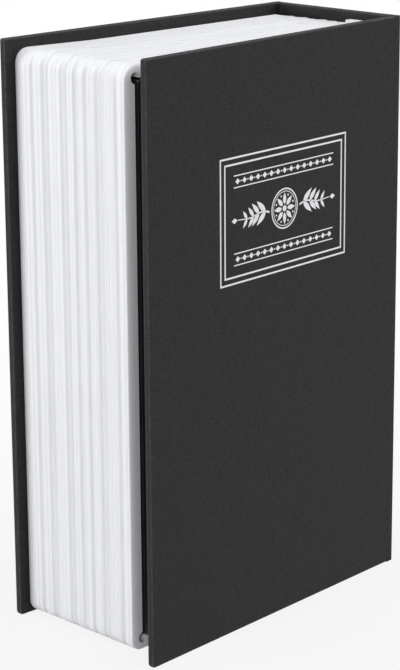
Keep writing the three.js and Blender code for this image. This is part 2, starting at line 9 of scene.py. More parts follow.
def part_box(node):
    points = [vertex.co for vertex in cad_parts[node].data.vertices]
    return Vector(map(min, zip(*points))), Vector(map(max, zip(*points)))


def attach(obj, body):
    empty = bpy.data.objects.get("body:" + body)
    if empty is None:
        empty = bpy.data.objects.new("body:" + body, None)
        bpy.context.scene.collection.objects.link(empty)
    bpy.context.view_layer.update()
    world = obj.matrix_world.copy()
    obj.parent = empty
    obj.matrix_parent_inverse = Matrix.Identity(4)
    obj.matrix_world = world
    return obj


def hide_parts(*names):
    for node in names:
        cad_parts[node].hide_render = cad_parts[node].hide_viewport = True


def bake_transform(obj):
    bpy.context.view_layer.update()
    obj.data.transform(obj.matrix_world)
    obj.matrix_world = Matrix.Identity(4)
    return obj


# A book safe: a hardback case of black boards round a white moulding shaped like page edges, with a
# hinged steel box inside. Metres, +Z up, spine at +X, fore edge at -X, front cover at -Y.
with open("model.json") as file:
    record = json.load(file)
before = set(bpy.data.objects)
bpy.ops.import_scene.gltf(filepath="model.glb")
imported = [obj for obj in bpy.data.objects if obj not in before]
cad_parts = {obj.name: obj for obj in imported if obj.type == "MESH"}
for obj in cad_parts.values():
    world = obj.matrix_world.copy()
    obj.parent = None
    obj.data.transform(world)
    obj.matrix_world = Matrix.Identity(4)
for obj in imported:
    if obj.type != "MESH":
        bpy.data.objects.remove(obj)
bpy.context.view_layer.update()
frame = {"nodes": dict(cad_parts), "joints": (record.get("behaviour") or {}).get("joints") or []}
scene = bpy.context.scene
mm = 0.001

# Camera
# It stands off the corner of the fore edge and the front cover, a little above the book, with a long
# lens and no shift.
camera_place = Vector((-0.4872, -0.4855, 0.2727))
camera_right = Vector((0.7103, -0.7038, -0.0067))
camera_up = Vector((0.1903, 0.1829, 0.9645))
camera_data = bpy.data.cameras.new("camera")
camera_data.lens = 123.42
camera_data.sensor_width = 36
camera = bpy.data.objects.new("camera", camera_data)
scene.collection.objects.link(camera)
camera_back = camera_right.cross(camera_up).normalized()
camera_up = camera_back.cross(camera_right).normalized()
camera_turn = Matrix((camera_right, camera_up, camera_back)).transposed().to_4x4()
camera.matrix_world = Matrix.Translation(camera_place) @ camera_turn
scene.camera = camera

# Back cover
# A greyboard panel wrapped in black linen-grained paper. The paper turns in over the edges, and a
# black lining is pasted over the turn-ins.
back_low, back_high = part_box("back_covering")
cover_width = back_high.x - back_low.x
cover_height = back_high.z - back_low.z
cover_thickness = back_high.y - back_low.y
fore_head_radius = 0.8 * mm
fore_tail_radius = 1.6 * mm
hinge_radius = 0.3 * mm
cover_radii = (fore_tail_radius, hinge_radius, hinge_radius, fore_head_radius)
paper = 0.4 * mm
skin = 0.05 * mm
arris = 0.75 * mm
arris_steps = 7
face_margin = 0.06 * mm
turn_in = 4 * mm
lining_rise = 0.12 * mm
lining_lap = 0.5 * mm
corner_steps = 8
sharp_angle = 38
least_bend = 0.02 * mm
lining_foot_gap = 0.01 * mm
lining_edge = 0.025 * mm
lining_clearance = 0.1 * mm


def board_outline(width, height, radii, margin):
    """A board's outline in x and z, from its hinge edge at x = 0, drawn in by a margin."""
    corners = [(-width, 0, 180), (0, 0, 270), (0, height, 0), (-width, height, 90)]
    points = []
    for (x, z, start), radius in zip(corners, radii):
        bend = max(radius - margin, least_bend)
        inset = margin + bend
        centre_x = x + inset if x < 0 else x - inset
        centre_z = z + inset if z == 0 else z - inset
        for step in range(corner_steps + 1):
            turn = math.radians(start + 90 * step / corner_steps)
            points.append((centre_x + bend * math.cos(turn), centre_z + bend * math.sin(turn)))
    return points


def loft(rings, ends=True):
    """Closed rings joined by faces, with a cap at each end or else the last ring joined to the first."""
    made = bmesh.new()
    grid = [[made.verts.new(point) for point in ring] for ring in rings]
    pairs = list(zip(grid, grid[1:]))
    if not ends:
        pairs.append((grid[-1], grid[0]))
    for near, far in pairs:
        for place in range(len(near)):
            after = (place + 1) % len(near)
            made.faces.new((near[place], near[after], far[after], far[place]))
    if ends:
        made.faces.new(grid[0])
        made.faces.new(list(reversed(grid[-1])))
    return made


def make_object(name, made, material, place=Matrix.Identity(4), sharp=sharp_angle):
    """A closed mesh as an object in its place, smooth but for its sharp edges."""
    bmesh.ops.recalc_face_normals(made, faces=made.faces)
    for face in made.faces:
        face.smooth = True
    mesh = bpy.data.meshes.new(name)
    made.to_mesh(mesh)
    made.free()
    mesh.set_sharp_from_angle(angle=math.radians(sharp))
    mesh.materials.append(material)
    piece = bpy.data.objects.new(name, mesh)
    scene.collection.objects.link(piece)
    piece.matrix_world = place
    return piece


def wrapped_board(width, height, radii, side):
    """The covering of a board: out across its face, round its edges, over the turn-in and back."""
    def ring(margin, depth):
        outline = board_outline(width, height, radii, margin + skin)
        return [(x, side * depth, z) for x, z in outline]
    inner_face = cover_thickness - lining_rise
    turns = [math.pi / 2 * step / arris_steps for step in range(arris_steps + 1)]
    rings = [ring(arris + face_margin, skin)]
    for turn in turns:
        rings.append(ring(arris * (1 - math.sin(turn)), skin + arris * (1 - math.cos(turn))))
    for turn in turns:
        rings.append(ring(arris * (1 - math.cos(turn)), inner_face - arris * (1 - math.sin(turn))))
    rings.append(ring(arris + face_margin, inner_face))
    rings.append(ring(turn_in, inner_face))
    rings.append(ring(turn_in, cover_thickness - paper))
    rings.append(ring(paper, cover_thickness - paper))
    rings.append(ring(paper, paper))
    return loft(rings)


def pasted_lining(width, height, radii, side):
    """The lining of a board, which fills the window of the turn-ins and laps over their edges."""
    def ring(margin, depth):
        return [(x, side * depth, z) for x, z in board_outline(width, height, radii, margin)]
    lap = turn_in - lining_lap
    foot = cover_thickness - lining_rise + lining_foot_gap
    rings = [
        ring(turn_in + lining_clearance, cover_thickness - paper),
        ring(turn_in + lining_clearance, foot),
        ring(lap, foot),
        ring(lap, cover_thickness - lining_edge),
        ring(lap + lining_edge, cover_thickness),
        ring(lap + lining_clearance, cover_thickness),
    ]
    return loft(rings)


class Signal:
    """A node's output in one node tree. Sums with it add Math nodes, and node() adds any other."""

    def __init__(self, tree, socket=None):
        self.tree = tree
        self.socket = socket

    def node(self, kind, settings=None, inputs=None, output=0):
        """A new node's output, once its settings are set and its inputs are set or linked."""
        made = self.tree.nodes.new(kind)
        for name, value in (settings or {}).items():
            setattr(made, name, value)
        for name, value in (inputs or {}).items():
            if isinstance(value, Signal):
                self.tree.links.new(value.socket, made.inputs[name])
            else:
                made.inputs[name].default_value = value
        return Signal(self.tree, made.outputs[output])

    def math(self, operation, first, second=0.0, clamp=False):
        """A sum on one or two numbers or outputs."""
        settings = {"operation": operation, "use_clamp": clamp}
        return self.node("ShaderNodeMath", settings, {0: first, 1: second})

    def __add__(self, other):
        return self.math("ADD", self, other)

    def __radd__(self, other):
        return self.math("ADD", other, self)

    def __sub__(self, other):
        return self.math("SUBTRACT", self, other)

    def __rsub__(self, other):
        return self.math("SUBTRACT", other, self)

    def __mul__(self, other):
        return self.math("MULTIPLY", self, other)

    def __rmul__(self, other):
        return self.math("MULTIPLY", other, self)

    def clamped(self):
        """This, kept between 0 and 1."""
        return self.math("ADD", self, 0.0, clamp=True)

    def sine(self):
        """The sine of this as an angle."""
        return self.math("SINE", self)

    def size(self):
        """This without its sign."""
        return self.math("ABSOLUTE", self)

    def largest(self, other):
        """The larger of this and another."""
        return self.math("MAXIMUM", self, other)

    def axis(self, number):
        """One of a vector's three amounts."""
        return self.node("ShaderNodeSeparateXYZ", None, {0: self}, number)

    def scaled(self, factors):
        """A vector with each axis stretched by its own factor."""
        return self.node("ShaderNodeVectorMath", {"operation": "MULTIPLY"}, {0: self, 1: factors})

    def noise(self, scale, detail=2.0, roughness=0.5):
        """Soft random patches at this place, with so many to the metre."""
        inputs = {"Vector": self, "Scale": scale, "Detail": detail, "Roughness": roughness}
        return self.node("ShaderNodeTexNoise", None, inputs)

    def between(self, low, high):
        """A colour that goes from low to high as this goes from 0 to 1."""
        return self.node("ShaderNodeMix", {"data_type": "RGBA"}, {0: self, 6: low, 7: high}, 2)

    def bump(self, distance, strength=1.0):
        """A surface that this raises by up to a distance."""
        inputs = {"Height": self, "Distance": distance, "Strength": strength}
        return self.node("ShaderNodeBump", None, inputs)

    def into(self, name):
        """Leads this into one of the finish's own inputs."""
        shader = self.tree.nodes["Principled BSDF"]
        self.tree.links.new(self.socket, shader.inputs[name])


def new_finish(name, constants):
    """A material with its constants set, and the place of each of its points on the piece."""
    material = bpy.data.materials.new(name)
    material.use_nodes = True
    shader = material.node_tree.nodes["Principled BSDF"]
    for socket, value in constants.items():
        shader.inputs[socket].default_value = value
    place = Signal(material.node_tree).node("ShaderNodeTexCoord", output="Object")
    return material, place


def tone(red, green=None, blue=None):
    """A colour written in levels of 0 to 255, as amounts of light."""
    levels = (red, red if green is None else green, red if blue is None else blue)
    return tuple(((level / 255 + 0.055) / 1.055) ** 2.4 for level in levels) + (1,)


def off_axis(place):
    """0 on faces that are square to the piece, and more along its rounded arrises."""
    normal = place.node("ShaderNodeTexCoord", output="Normal")
    return 1 - normal.axis(0).size().largest(normal.axis(1).size()).largest(normal.axis(2).size())


linen_pitch = 0.42 * mm
linen_turns = 2 * math.pi / linen_pitch
thread_wander = 2.4
slub_scale = 2600
slub_stretch = 0.12
weave_strength = 1.2
weave_level = -1.38
wear_and_highlight_width = 5.0
wear_and_highlight_amount = 0.9
paper_finish, place = new_finish("covering_paper", {"Specular IOR Level": 0.12})
wobble = place.noise(260, detail=2) * thread_wander
warp = ((place.axis(0) + place.axis(1)) * linen_turns + wobble).sine()
weft = (place.axis(2) * linen_turns + wobble).sine()
slubs = place.scaled((1, 1, slub_stretch)).noise(slub_scale, detail=2)
cross_slubs = place.scaled((slub_stretch, slub_stretch, 1)).noise(slub_scale, detail=2)
coarse = place.noise(900, detail=3, roughness=0.6)
weave = warp * weft * 0.5 + slubs + cross_slubs + coarse * 0.8
patches = place.noise(70, detail=3)
# Lighter along the rounded arrises: partly rubbed wear, partly a painted highlight where the arrises
# catch the light.
wear_and_highlight = (off_axis(place) * wear_and_highlight_width).clamped() * (place.noise(420, detail=3) * wear_and_highlight_amount)
shade = (patches * 0.4 + weave * weave_strength + weave_level).clamped()
wear_and_highlight.clamped().between(shade.between(tone(34), tone(57)), tone(92)).into("Base Color")
(0.56 + 0.14 * patches).into("Roughness")
weave.bump(0.09 * mm, strength=0.75).into("Normal")

lining_finish, place = new_finish("lining_paper", {"Specular IOR Level": 0.1})
fibre_stretch = 0.3
fibres = place.scaled((1, 1, fibre_stretch)).noise(1500, detail=4, roughness=0.7)
mottle = place.noise(60, detail=3)
(mottle * 0.6 + fibres * 0.5 - 0.2).clamped().between(tone(38), tone(54)).into("Base Color")
(0.66 + 0.14 * fibres).into("Roughness")
fibres.bump(0.04 * mm, strength=0.45).into("Normal")

board_finish, place = new_finish("greyboard", {"Specular IOR Level": 0.2, "Roughness": 0.9})
pulp = place.noise(800, detail=4, roughness=0.7)
flecks = (place.noise(2600, detail=1) * 6 - 3.6).clamped()
grey_pulp = pulp.between(tone(128, 120, 108), tone(172, 162, 146))
flecks.between(grey_pulp, tone(86, 78, 70)).into("Base Color")
pulp.bump(0.06 * mm, strength=0.6).into("Normal")


def finished(piece, body, slot, *nodes):
    """Rides a piece on its body and hides the nodes that it replaces. Its slot is not used."""
    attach(piece, body)
    if nodes:
        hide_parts(*nodes)


def paint_node(node, material):
    """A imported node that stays, given its finish."""
    kept = frame["nodes"][node]
    kept.data.materials.clear()
    kept.data.materials.append(material)


hinges = {joint["name"]: Vector(joint["pos_m"]) for joint in frame["joints"]}
back_place = Matrix.Translation(hinges["spine_hinge"])
covering = wrapped_board(cover_width, cover_height, cover_radii, -1)
back_paper = make_object("back_cover_paper", covering, paper_finish, back_place)
finished(back_paper, "back", "covering_paper", "back_covering")
lining = pasted_lining(cover_width, cover_height, cover_radii, -1)
back_liner = make_object("back_cover_lining", lining, lining_finish, back_place)
finished(back_liner, "back", "lining_paper", "back_lining")
paint_node("back_board", board_finish)

# Spine
# The third board of the case stands on edge between the two covers, wrapped and lined in the same
# papers. The covers turn about its outer corners.
spine_low, spine_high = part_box("spine_covering")
spine_width = spine_high.y - spine_low.y
spine_radii = (hinge_radius,) * 4
spine_turn = Matrix.Rotation(math.pi / 2, 4, "Z")
spine_place = Matrix.Translation((spine_high.x, spine_high.y, 0)) @ spine_turn
covering = wrapped_board(spine_width, cover_height, spine_radii, 1)
spine_paper = make_object("spine_paper", covering, paper_finish, spine_place)
finished(spine_paper, "spine", "covering_paper", "spine_covering")
lining = pasted_lining(spine_width, cover_height, spine_radii, 1)
spine_liner = make_object("spine_lining_paper", lining, lining_finish, spine_place)
finished(spine_liner, "spine", "lining_paper", "spine_lining")
paint_node("spine_board", board_finish)

# Front cover
# The same as the back cover, and at rest it stands a little ajar, because it leans on the head of the
# lock. How far follows from where its fore edge is.
front_low, front_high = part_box("front_covering")
ajar = math.asin((hinges["cover_hinge"].y - front_low.y) / cover_width)
front_place = Matrix.Translation(hinges["cover_hinge"]) @ Matrix.Rotation(ajar, 4, "Z")
covering = wrapped_board(cover_width, cover_height, cover_radii, 1)
front_paper = make_object("front_cover_paper", covering, paper_finish, front_place)
finished(front_paper, "front_cover", "covering_paper", "front_covering")
lining = pasted_lining(cover_width, cover_height, cover_radii, 1)
front_liner = make_object("front_cover_lining", lining, lining_finish, front_place)
finished(front_liner, "front_cover", "lining_paper", "front_lining")
paint_node("front_board", board_finish)

# Creases
# The covering paper runs on from board to board, so at both outer corners of the spine a band of it
# bends round from the cover to the spine. Over each gap between two boards it sinks a little.
band_reach = 3.4 * mm
band_sheet = 0.12 * mm
band_taper = 0.6 * mm
band_end_inset = 0.1 * mm
band_inset = 0.01 * mm
gap_dip = 0.16 * mm
gap_half_width = 0.5 * mm
band_step = 0.16 * mm
band_end_sink = 0.08 * mm
bend_steps = 6


def band_sink(along, reach):
    """How far the band lies under the paper's face at a distance from the corner."""
    return band_inset + band_end_sink * max(0, (along - reach + band_taper) / band_taper)


def band_section(corner, cover_way, spine_way, gap_from_corner):
    """The band's outer line in x and y, from the cover's face round the corner to the spine's."""
    out_of_cover = -spine_way
    out_of_spine = -cover_way
    bend_centre = corner + (cover_way + spine_way) * arris
    count = int((band_reach - arris) / band_step)
    line = []
    for step in range(count, 0, -1):
        along = arris + step * band_step
        line.append(corner + cover_way * along - out_of_cover * band_sink(along, band_reach))
    for step in range(bend_steps + 1):
        turn = math.pi / 2 * step / bend_steps
        bend = (out_of_cover * math.cos(turn) + out_of_spine * math.sin(turn)) * (arris - band_inset)
        line.append(bend_centre + bend)
    for step in range(1, count + 1 + int(cover_thickness / band_step)):
        along = arris + step * band_step
        sink = band_sink(along, band_reach + cover_thickness)
        from_gap = abs(along - gap_from_corner) / gap_half_width
        sink += gap_dip * max(0, 1 - from_gap * from_gap)
        line.append(corner + spine_way * along - out_of_spine * sink)
    return line


def crease_band(name, corner, cover_way, spine_way):
    """A band of paper over one outer corner of the spine, which bends from one body to the other."""
    gap = cover_thickness + (spine_low.y - hinges["cover_hinge"].y - cover_thickness) / 2
    line = band_section(corner, cover_way, spine_way, gap)
    inner = []
    for place, point in enumerate(line):
        before = line[max(place - 1, 0)]
        after = line[min(place + 1, len(line) - 1)]
        way = (after - before).normalized()
        across = Vector((-way.y, way.x, 0))
        inward = across if across.dot(cover_way + spine_way) > 0 else -across
        inner.append(point + inward * band_sheet)
    section = line + list(reversed(inner))
    rings = []
    for z in (band_end_inset + skin, cover_height - band_end_inset - skin):
        rings.append([(point.x, point.y, z) for point in section])
    band = make_object(name, loft(rings), paper_finish, sharp=50)
    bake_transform(band)


back_corner = hinges["spine_hinge"]
front_corner = hinges["cover_hinge"]
front_way = Vector((-math.cos(ajar), -math.sin(ajar), 0))
crease_band("back_crease", back_corner, Vector((-1, 0, 0)), Vector((0, -1, 0)))
crease_band("front_crease", front_corner, front_way, Vector((0, 1, 0)))

# Foil stamping
# A double border in silver foil on the front cover, and inside it a plain tooled ornament: a rosette,
# leaf sprays either side, and rows of lozenges between rules. It lies in the cover's own frame.
foil_out = 0.02 * mm
foil_in = 0.08 * mm
border_fore = 31.1 * mm
border_hinge = 90.4 * mm
border_tail = 109.3 * mm
border_head = 147.3 * mm
border_step = 1.95 * mm
line_width = 0.54 * mm
ring_sides = 48
leaf_steps = 10
leaf_fullness = 0.8
leaf_tip = 0.04 * mm


def foil_strip(made, middle, half_widths):
    """A flat strip of foil along points in x and z, as wide at each as its half width says."""
    rails = []
    for place, point in enumerate(middle):
        before = middle[max(place - 1, 0)]
        after = middle[min(place + 1, len(middle) - 1)]
        way = (after - before).normalized()
        across = Vector((-way.y, way.x)) * half_widths[place]
        left = point + across
        right = point - across
        rails.append([(left.x, foil_out, left.y), (right.x, foil_out, right.y),
                      (right.x, foil_in, right.y), (left.x, foil_in, left.y)])
    grid = [[made.verts.new(corner) for corner in rail] for rail in rails]
    for near, far in zip(grid, grid[1:]):
        for place in range(4):
            after = (place + 1) % 4
            made.faces.new((near[place], near[after], far[after], far[place]))
    made.faces.new(grid[0])
    made.faces.new(list(reversed(grid[-1])))


def foil_shape(made, outline):
    """A flat shape of foil from its outline in x and z."""
    top = [made.verts.new((point.x, foil_out, point.y)) for point in outline]
    foot = [made.verts.new((point.x, foil_in, point.y)) for point in outline]
    for place in range(len(top)):
        after = (place + 1) % len(top)
        made.faces.new((top[place], top[after], foot[after], foot[place]))
    made.faces.new(top)
    made.faces.new(list(reversed(foot)))


def foil_frame(made, low, high, width):
    """A rectangle of four mitred strips, its outer corners given."""
    outer = [low, Vector((high.x, low.y)), high, Vector((low.x, high.y))]
    inner = [low + Vector((width, width)), Vector((high.x - width, low.y + width)),
             high - Vector((width, width)), Vector((low.x + width, high.y - width))]
    for place in range(4):
        after = (place + 1) % 4
        foil_shape(made, [outer[place], outer[after], inner[after], inner[place]])


def around(angle):
    """The way in x and z that an angle points."""
    return Vector((math.cos(angle), math.sin(angle)))


def foil_ring(made, centre, radius, width):
    """A ring of short mitred pieces, its outer radius given."""
    for side in range(ring_sides):
        corners = []
        for turn, reach in ((side, radius), (side + 1, radius), (side + 1, radius - width),
                            (side, radius - width)):
            corners.append(centre + around(2 * math.pi * turn / ring_sides) * reach)
        foil_shape(made, corners)


def foil_disc(made, centre, radius, sides):
    """A round spot."""
    foil_shape(made, [centre + around(2 * math.pi * side / sides) * radius for side in range(sides)])


def lozenge(made, centre, half_length, half_height):
    """A diamond that lies along its row."""
    foil_shape(made, [centre - Vector((half_length, 0)), centre - Vector((0, half_height)),
                      centre + Vector((half_length, 0)), centre + Vector((0, half_height))])


def leaf(made, foot, angle, length, width):
    """A leaf pointed at both ends, from its foot."""
    way = around(angle)
    middle = [foot + way * (length * step / leaf_steps) for step in range(leaf_steps + 1)]
    halves = []
    for step in range(leaf_steps + 1):
        half = width / 2 * math.sin(math.pi * (step / leaf_steps) ** leaf_fullness)
        halves.append(max(half, leaf_tip))
    foil_strip(made, middle, halves)


foil_finish, place = new_finish("silver_foil", {"Metallic": 0.85, "Specular IOR Level": 0.5})
foil_grain = place.noise(2400, detail=2)
pinholes = (place.noise(1700, detail=3, roughness=0.65) * 5 - 3.0).clamped()
pinholes.between(tone(222, 223, 225), tone(120)).into("Base Color")
(0.3 + 0.25 * foil_grain).into("Roughness")
foil_grain.bump(0.03 * mm, strength=0.4).into("Normal")

border = bmesh.new()
outer_low = Vector((border_fore - cover_width, border_tail))
outer_high = Vector((border_hinge - cover_width, border_head))
step_in = Vector((border_step, border_step))
foil_frame(border, outer_low, outer_high, line_width)
foil_frame(border, outer_low + step_in, outer_high - step_in, line_width)
border_piece = make_object("foil_border", border, foil_finish, front_place)
finished(border_piece, "front_cover", "silver_foil")

ornament = bmesh.new()
middle = (outer_low + outer_high) / 2
rosette_radius = 6.2 * mm
rosette_ring = 0.45 * mm
inner_ring_step = 0.9 * mm
inner_ring = 0.22 * mm
petals = 8
petal_foot = 1.3 * mm
petal_length = 3.5 * mm
petal_width = 1.5 * mm
petal_dot_place = 4.2 * mm
petal_dot = 0.32 * mm
rosette_eye = 0.9 * mm
rosette_eye_sides = 24
petal_dot_sides = 16
foil_ring(ornament, middle, rosette_radius, rosette_ring)
foil_ring(ornament, middle, rosette_radius - inner_ring_step, inner_ring)
for petal in range(petals):
    angle = 2 * math.pi * petal / petals
    leaf(ornament, middle + around(angle) * petal_foot, angle, petal_length, petal_width)
    between_petals = around(angle + math.pi / petals)
    foil_disc(ornament, middle + between_petals * petal_dot_place, petal_dot, petal_dot_sides)
foil_disc(ornament, middle, rosette_eye, rosette_eye_sides)

stem_gap = 0.9 * mm
stem_length = 14.5 * mm
stem_wave = 0.9 * mm
stem_half_width = 0.3 * mm
stem_taper = 0.6
stem_steps = 24
leaf_pairs = 4
first_pair = 0.12
pair_step = 0.2
first_spread = math.radians(42)
spread_step = math.radians(4)
first_leaf_length = 5.4 * mm
leaf_length_step = 0.75 * mm
first_leaf_width = 1.75 * mm
leaf_width_step = 0.22 * mm
bud_gap = 1.5 * mm
bud_half_length = 1.3 * mm
bud_half_height = 0.85 * mm
for side in (-1, 1):
    stem = []
    stem_halves = []
    for step in range(stem_steps + 1):
        share = step / stem_steps
        x = side * (rosette_radius + stem_gap + stem_length * share)
        rise = stem_wave * math.sin(2 * math.pi * share) * (1 - share)
        stem.append(middle + Vector((x, rise)))
        stem_halves.append(stem_half_width * (1 - stem_taper * share))
    foil_strip(ornament, stem, stem_halves)
    for pair in range(leaf_pairs):
        foot = stem[round((first_pair + pair_step * pair) * stem_steps)]
        length = first_leaf_length - leaf_length_step * pair
        width = first_leaf_width - leaf_width_step * pair
        for up in (-1, 1):
            spread = up * (first_spread + spread_step * pair)
            leaf(ornament, foot, spread if side > 0 else math.pi - spread, length, width)
    bud = stem[-1] + Vector((side * bud_gap, 0))
    lozenge(ornament, bud, bud_half_length, bud_half_height)

row_place = 11.6 * mm
rule_place = 1.75 * mm
rule_half_length = 23.4 * mm
rule_half_width = 0.17 * mm
row_half_count = 7
row_step = 3.1 * mm
row_half_length = 1.05 * mm
row_half_height = 0.9 * mm
row_dot = 0.26 * mm
row_dot_sides = 12
for up in (-1, 1):
    row = middle + Vector((0, up * row_place))
    for rule in (-1, 1):
        y = row.y + rule * rule_place
        ends = [Vector((row.x - rule_half_length, y)), Vector((row.x + rule_half_length, y))]
        foil_strip(ornament, ends, [rule_half_width, rule_half_width])
    for count in range(-row_half_count, row_half_count + 1):
        centre = row + Vector((count * row_step, 0))
        lozenge(ornament, centre, row_half_length, row_half_height)
        if count < row_half_count:
            foil_disc(ornament, centre + Vector((row_step / 2, 0)), row_dot, row_dot_sides)
ornament_piece = make_object("foil_ornament", ornament, foil_finish, front_place)
finished(ornament_piece, "front_cover", "silver_foil")

# Page surround
# A white plastic moulding round three sides of the box, shaped like the edges of pages: fine ribs in
# bundles, each of which leans towards the spine and the head and then springs back.
surround_low, surround_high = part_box("page_surround")
tab_head_rise = 1.0 * mm
tab_tail_rise = 0.7 * mm
fore_face = surround_low.x
tail_face = surround_low.z + tab_tail_rise
head_face = surround_high.z - tab_head_rise
end_margin = 0.6 * mm
surround_end = surround_high.x - end_margin
back_inner = back_low.y
surround_back = back_inner - surround_high.y
surround_front = back_inner - surround_low.y
surround_depth = surround_front - surround_back
surround_head_radius = 5 * mm
surround_tail_radius = 3.5 * mm
lip_width = 3.9 * mm
lip_round = 3.0 * mm
lip_rise = 0.8 * mm
lip_steps = 14
lip_curve = 2.5
inner_edge = 0.25 * mm
rebate_floor = 39.9 * mm
wall = 5.5 * mm
back_chamfer = 0.5 * mm
bundle_shares = (0.163, 0.267, 0.303, 0.436, 0.472, 0.556, 0.648, 0.749, 0.785, 0.916)
groove_depths = (2.2, 3.8, 5.2, 10.3, 16.7, 18.4, 24.4, 28.0, 32.8, 34.0, 38.8, 40.0, 41.0, 42.0, 46.4)
groove = 0.16 * mm
groove_reach = 0.2 * mm
bundle_gap = 0.03 * mm
rise_run = 0.55 * mm
rise_share = 0.35
rise_steps = 5
rise_curve = 1.6
leaf_step = 0.16 * mm
least_leaves = 6
slope_run = 1.4 * mm
slope_share = 0.8
slope_curve = 1.4
last_leaf_steps = 16
most_lift = 0.3 * mm
lift_share = 0.06
head_bow = 0.6 * mm
bow_reach = 30 * mm
most_valley = 1.15 * mm
valley_share = 0.34
valley_rise_share = 0.25
early_lean = 0.06
turn_steps = 12


def grooved(depth):
    """How far the grooves between the leaves take the face in at a depth."""
    taken = 0
    for middle in groove_depths:
        away = (depth - middle * mm) / groove_reach
        taken += groove * math.exp(-away * away)
    return taken


def first_leaf(start, run, valley, lift):
    """Points of a bundle's first leaf, whose fore edge comes up out of the valley before it."""
    points = []
    for step in range(rise_steps):
        share = step / rise_steps
        points.append((0, start + run * share, valley * (1 - share) ** rise_curve, 0, lift))
    return points


def other_leaves(start, end, valley, lift):
    """Points of the rest of a bundle, which leans a little at first and most at its end."""
    run = min(slope_run, slope_share * (end - start))
    count = max(least_leaves, round((end - start) / leaf_step))
    points = []
    for step in range(count + 1):
        depth = start + (end - start) * step / count
        early = min(1, (depth - start) / (end - start - run))
        late = max(0, (depth - end + run) / run)
        lean = early_lean * early + (1 - early_lean) * late ** slope_curve
        points.append((-grooved(depth), depth, valley * lean, lift * lean, lift))
    return points


def surround_section():
    """The wall in section: offset out from the face, depth from the back cover, how far it leans
    towards the spine and towards the head there, and the whole lean to the head of its bundle."""
    points = [(-back_chamfer, surround_back, 0, 0, 0)]
    start = surround_back + back_chamfer
    last_valley = back_chamfer / 2
    for share in bundle_shares:
        end = surround_back + share * surround_depth
        lift = min(most_lift, lift_share * (end - start))
        valley = min(most_valley, valley_share * (end - start))
        run = min(rise_run, rise_share * (end - start))
        points += first_leaf(start, run, last_valley, lift)
        points += other_leaves(start + run, end, valley, lift)
        last_valley = valley
        start = end + bundle_gap
    points += first_leaf(start, rise_run, last_valley, 0)
    start += rise_run
    lip_start = surround_front - lip_rise
    for step in range(last_leaf_steps + 1):
        depth = start + (lip_start - start) * step / last_leaf_steps
        points.append((-grooved(depth), depth, 0, 0, 0))
    for step in range(1, lip_steps + 1):
        inward = (step / lip_steps) ** 2
        risen = math.sqrt(1 - (1 - inward) ** lip_curve)
        points.append((-lip_round * inward, lip_start + lip_rise * risen, 0, 0, 0))
    corners = [(lip_width - inner_edge, surround_front), (lip_width, surround_front - inner_edge),
               (lip_width, rebate_floor), (wall, rebate_floor), (wall, surround_back)]
    points += [(-inward, depth, 0, 0, 0) for inward, depth in corners]
    return points


def surround_rings(section):
    """The section carried from the tail wall's spine end round the fore edge to the head wall's."""
    tail_centre = tail_face + surround_tail_radius
    head_centre = head_face - surround_head_radius
    wall_end = surround_end + end_margin - most_valley
    stations = [(wall_end, tail_centre, surround_tail_radius, -90, 0, 0)]
    for radius, centre, start, bow in ((surround_tail_radius, tail_centre, -90, 0),
                                       (surround_head_radius, head_centre, -180, head_bow)):
        for step in range(turn_steps + 1):
            stations.append((fore_face + radius, centre, radius, start - 90 * step / turn_steps, 1, bow))
    stations.append((fore_face + bow_reach, head_centre, surround_head_radius, -270, 0, 0))
    stations.append((wall_end, head_centre, surround_head_radius, -270, 0, 0))
    rings = []
    for centre_x, centre_z, radius, turn, in_x, bow in stations:
        at_head = 1 if centre_z > cover_height / 2 else 0
        out_x = math.cos(math.radians(turn))
        out_z = math.sin(math.radians(turn))
        ring = []
        for offset, depth, back, up, lift in section:
            reach = radius + offset
            x = centre_x + out_x * reach
            z = centre_z + out_z * reach
            # Past the corner's centre the wall's inner faces run straight on, and they meet square.
            if reach <= 0:
                x = centre_x - in_x * reach
                z = centre_z + reach if at_head else centre_z - reach
            x += back if in_x == 0 else -out_x * back
            z -= out_z * valley_rise_share * back
            z += up - at_head * lift + bow * (1 - depth / surround_front)
            ring.append((x, back_inner - depth, z))
        rings.append(ring)
    return rings


def apply_modifiers(piece):
    """Gives a piece the mesh that its modifiers make, and takes them off."""
    bpy.context.view_layer.update()
    depsgraph = bpy.context.evaluated_depsgraph_get()
    mesh = bpy.data.meshes.new_from_object(piece.evaluated_get(depsgraph))
    piece.modifiers.clear()
    piece.data = mesh


def cut(piece, cutter, operation="DIFFERENCE"):
    """Cuts or joins one object by another, which is then gone."""
    modifier = piece.modifiers.new("cut", "BOOLEAN")
    modifier.operation = operation
    modifier.solver = "EXACT"
    modifier.object = cutter
    apply_modifiers(piece)
    bpy.data.objects.remove(cutter)


def block(low, high):
    """A box between two corners, to cut or join with."""
    made = bmesh.new()
    size = Vector(high) - Vector(low)
    placed = Matrix.Translation((Vector(low) + Vector(high)) / 2) @ Matrix.Diagonal((*size, 1))
    bmesh.ops.create_cube(made, size=1, matrix=placed)
    return made


def turned(profile, sides=48, closed=False):
    """A turned solid about Z from radius and height pairs, or a ring if the profile is closed."""
    turns = [2 * math.pi * side / sides for side in range(sides)]
    rings = []
    for radius, height in profile:
        rings.append([(radius * math.cos(turn), radius * math.sin(turn), height) for turn in turns])
    return loft(rings, ends=not closed)


page_finish, place = new_finish("page_plastic", {"Specular IOR Level": 0.3})
along_leaves = 0.002
moulding = place.noise(45, detail=3)
leaf_lines = place.scaled((along_leaves, 1, along_leaves)).noise(1300, detail=4, roughness=0.7)
sink = place.noise(160, detail=2)
shown_lines = (moulding * 0.4 + leaf_lines * 1.4 - 0.4).clamped()
shown_lines.between(tone(225, 226, 230), tone(245, 246, 249)).into("Base Color")
(0.46 + 0.16 * moulding).into("Roughness")
(leaf_lines + sink * 0.3).bump(0.06 * mm, strength=0.5).into("Normal")

